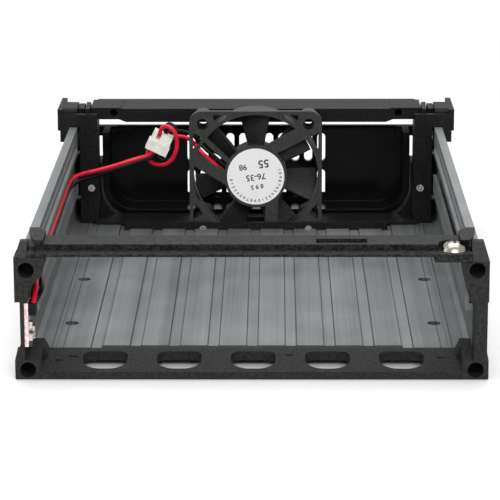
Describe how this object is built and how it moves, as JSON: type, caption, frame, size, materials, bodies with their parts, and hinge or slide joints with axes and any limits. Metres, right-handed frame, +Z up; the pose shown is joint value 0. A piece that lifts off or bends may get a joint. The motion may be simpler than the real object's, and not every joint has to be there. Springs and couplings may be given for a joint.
{
  "type": "hot swap drive cage",
  "caption": "Open-topped tray for one 3.5 inch drive: aluminium channel, black end frames, rear fan with lead, hinged vented front door.",
  "frame": {"origin": "centre of the footprint, on the plane that the object rests on", "axes": "+X right as seen from the connector end, +Y from the connector end to the front door, +Z up"},
  "size_m": [0.12, 0.172, 0.04],
  "materials": {
    "satin_aluminium": "satin extruded",
    "black_moulding": "fine texture",
    "black_crossbar": "fine texture",
    "front_moulding": "smooth satin",
    "gloss_black": "gloss",
    "fan_plastic": "moulded",
    "blade_plastic": "moulded",
    "screw_steel": "plain",
    "bright_screw": "bright",
    "red_board": "lacquered board",
    "green_board": "lacquered board",
    "solder": "bright solder",
    "terminal_black": "moulded",
    "bearing_brass": "sintered",
    "contact_brass": "plated",
    "core_steel": "laminated",
    "coil_copper": "enamelled copper",
    "magnet": "bonded ferrite",
    "red_wire": "smooth insulation",
    "black_wire": "smooth insulation",
    "white_nylon": "natural nylon"
  },
  "bodies": {
    "tray": {"channel": "satin_aluminium", "connector_frame": "black_moulding", "connector_frame_screws": "screw_steel", "top_crossbar": "black_crossbar", "crossbar_screw": "bright_screw", "circuit_board": "red_board", "board_parts": "solder", "board_terminal": "terminal_black", "front_frame": "front_moulding", "front_frame_screws": "screw_steel", "surround": "front_moulding", "post_screws": "bright_screw", "hinge_pins": "screw_steel", "fan_housing": "fan_plastic", "fan_bearing": "bearing_brass", "fan_driver_board": "green_board", "fan_stator": "core_steel", "fan_coils": "coil_copper", "fan_screws": "bright_screw", "fan_lead_red": "red_wire", "fan_lead_black": "black_wire", "harness_red": "red_wire", "harness_black": "black_wire", "lead_plug": "white_nylon", "harness_socket": "white_nylon", "coupling_pins": "contact_brass"},
    "fan_rotor": {"fan_impeller": "blade_plastic", "fan_magnet": "magnet", "fan_shaft": "screw_steel"},
    "door": {"front_door": "gloss_black"}
  },
  "joints": [
    {"name": "fan_spin", "type": "hinge", "parent": "tray", "child": "fan_rotor", "pos_m": [0, 0.0604, 0.02005], "axis": [0, 1, 0], "continuous": true},
    {"name": "door_hinge", "type": "hinge", "parent": "tray", "child": "door", "pos_m": [0, 0.077, 0.0355], "axis": [1, 0, 0], "range_deg": [0, 90]}
  ]
}
